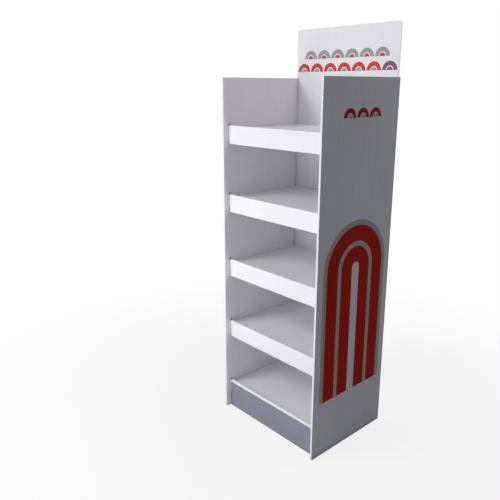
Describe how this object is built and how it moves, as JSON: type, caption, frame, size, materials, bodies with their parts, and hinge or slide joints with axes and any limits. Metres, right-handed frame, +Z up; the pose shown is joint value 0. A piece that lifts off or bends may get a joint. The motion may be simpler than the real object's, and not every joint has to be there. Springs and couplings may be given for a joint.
{
  "type": "corrugated plastic display rack",
  "caption": "Free-standing rack of fluted plastic sheet: lipped shelves slotted between double-walled side panels, with a kick plate and a header card.",
  "frame": {"origin": "on the floor, at the middle of the rack's width and depth", "axes": "+Z up, +X to the right of a person facing the shelves, -Y out of the open front"},
  "size_m": [0.53, 0.4376, 1.65],
  "materials": {
    "white_sheet": "satin fluted polypropylene, unprinted",
    "grey_printed_sheet": "satin fluted polypropylene, grey print outside and white inside",
    "blue_grey_printed_sheet": "satin fluted polypropylene, grey print on the kick plate",
    "white_rivet": "moulded nylon"
  },
  "bodies": {
    "root": {"back_panel": "white_sheet", "left_side_panel": "grey_printed_sheet", "right_side_panel": "grey_printed_sheet", "top_shelf": "white_sheet", "second_shelf": "white_sheet", "third_shelf": "white_sheet", "fourth_shelf": "white_sheet", "base_tray": "blue_grey_printed_sheet", "push_rivets": "white_rivet"}
  },
  "joints": []
}
